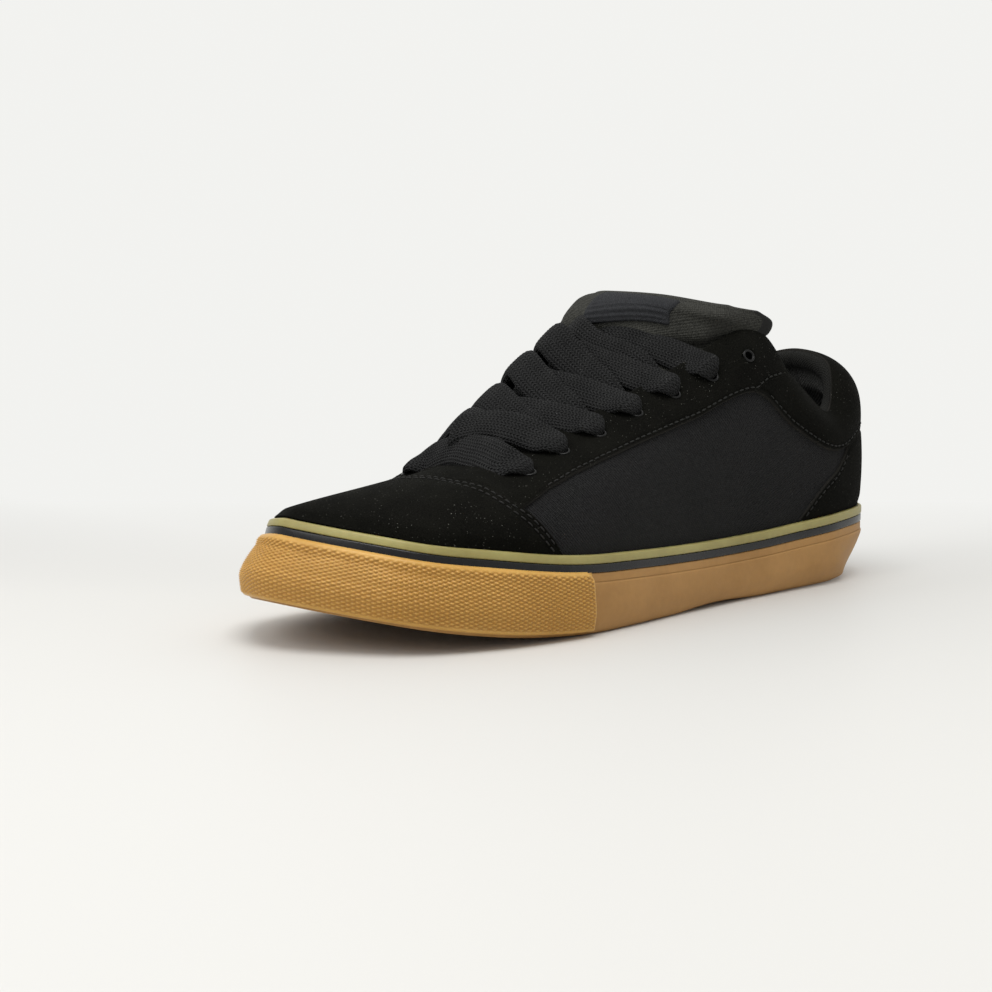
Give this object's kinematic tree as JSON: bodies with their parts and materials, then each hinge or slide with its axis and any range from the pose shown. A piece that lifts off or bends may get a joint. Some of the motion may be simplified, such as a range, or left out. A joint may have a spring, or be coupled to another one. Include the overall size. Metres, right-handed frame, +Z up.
{
  "type": "sneaker",
  "caption": "Low lace-up sneaker for the left foot: gum cup sole, dark canvas and suede upper, padded tongue and collar, flat braided lace.",
  "frame": {"origin": "middle of the shoe's box, on the floor it stands on", "axes": "+X from heel to toe, +Y to the outer side of the foot, +Z up"},
  "size_m": [0.3036, 0.1109, 0.1222],
  "materials": {
    "gum": "matt",
    "black_rubber": "satin",
    "olive_rubber": "satin",
    "insole_fabric": "matt",
    "canvas": "matt",
    "suede": "napped",
    "tongue_mesh": "matt",
    "lace_braid": "matt",
    "eyelet_metal": "black lacquer"
  },
  "bodies": {
    "root": {"outsole": "gum", "toe_bumper": "gum", "foxing_strip": "gum", "foxing_stripe": "black_rubber", "foxing_band": "olive_rubber", "insole": "insole_fabric", "upper": "canvas", "toe_cap": "suede", "eyestay": "suede", "collar": "suede", "heel_counter": "suede", "tongue": "tongue_mesh", "lace": "lace_braid", "eyelet_outer_1": "eyelet_metal", "eyelet_outer_2": "eyelet_metal", "eyelet_outer_3": "eyelet_metal", "eyelet_outer_4": "eyelet_metal", "eyelet_outer_5": "eyelet_metal", "eyelet_outer_6": "eyelet_metal", "eyelet_outer_7": "eyelet_metal", "eyelet_inner_1": "eyelet_metal", "eyelet_inner_2": "eyelet_metal", "eyelet_inner_3": "eyelet_metal", "eyelet_inner_4": "eyelet_metal", "eyelet_inner_5": "eyelet_metal", "eyelet_inner_6": "eyelet_metal", "eyelet_inner_7": "eyelet_metal"}
  },
  "joints": []
}
